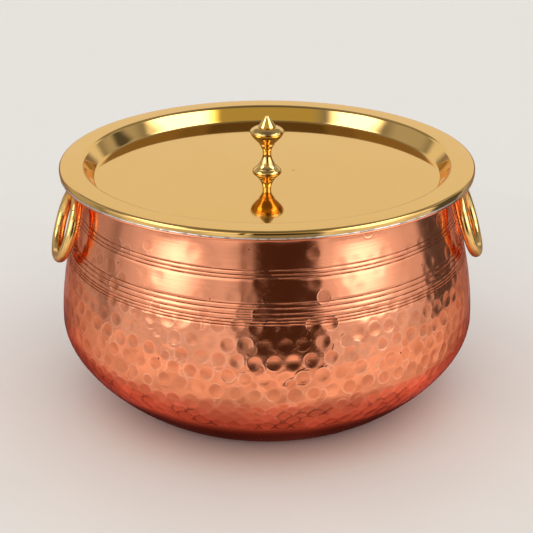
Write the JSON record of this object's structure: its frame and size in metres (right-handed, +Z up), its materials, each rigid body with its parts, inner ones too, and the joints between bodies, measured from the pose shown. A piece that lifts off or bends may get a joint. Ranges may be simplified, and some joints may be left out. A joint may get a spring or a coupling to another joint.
{
  "type": "copper handi",
  "caption": "Round-bellied double-walled cooking and serving bowl of hammered copper with a steel liner, ring handles on lugs and a flat lid with a turned knob.",
  "frame": {"origin": "centre of the flat foot, on the surface that the bowl stands on", "axes": "+Z up; -Y is the front, which the picture shows; the ring handles are at the -X and +X sides, both turned 11.8 degrees towards the front"},
  "size_m": [0.2724, 0.266, 0.1793],
  "materials": {
    "copper": "hammered, polished copper",
    "steel": "brushed stainless steel",
    "lid_brass": "satin-polished sheet brass",
    "polished_brass": "turned and polished brass",
    "cast_brass": "cast brass, polished, with small pits"
  },
  "bodies": {
    "bowl": {"copper_shell": "copper", "steel_liner": "steel", "left_lug": "cast_brass", "right_lug": "cast_brass", "left_lug_washer": "steel", "right_lug_washer": "steel"},
    "left_ring": {"left_ring": "cast_brass"},
    "right_ring": {"right_ring": "cast_brass"},
    "lid": {"lid_pan": "lid_brass", "lid_knob": "polished_brass", "knob_screw": "steel", "knob_washer": "steel"}
  },
  "joints": [
    {"name": "lid_lift", "type": "slide", "parent": "bowl", "child": "lid", "axis": [0, 0, 1], "range_m": [0, 0.12]},
    {"name": "left_ring_swing", "type": "hinge", "parent": "bowl", "child": "left_ring", "pos_m": [-0.11795, -0.02464, 0.139], "axis": [-0.2045, 0.9789, 0], "range_deg": [0, 92]},
    {"name": "right_ring_swing", "type": "hinge", "parent": "bowl", "child": "right_ring", "pos_m": [0.11795, -0.02464, 0.139], "axis": [-0.2045, -0.9789, 0], "range_deg": [0, 92]}
  ]
}
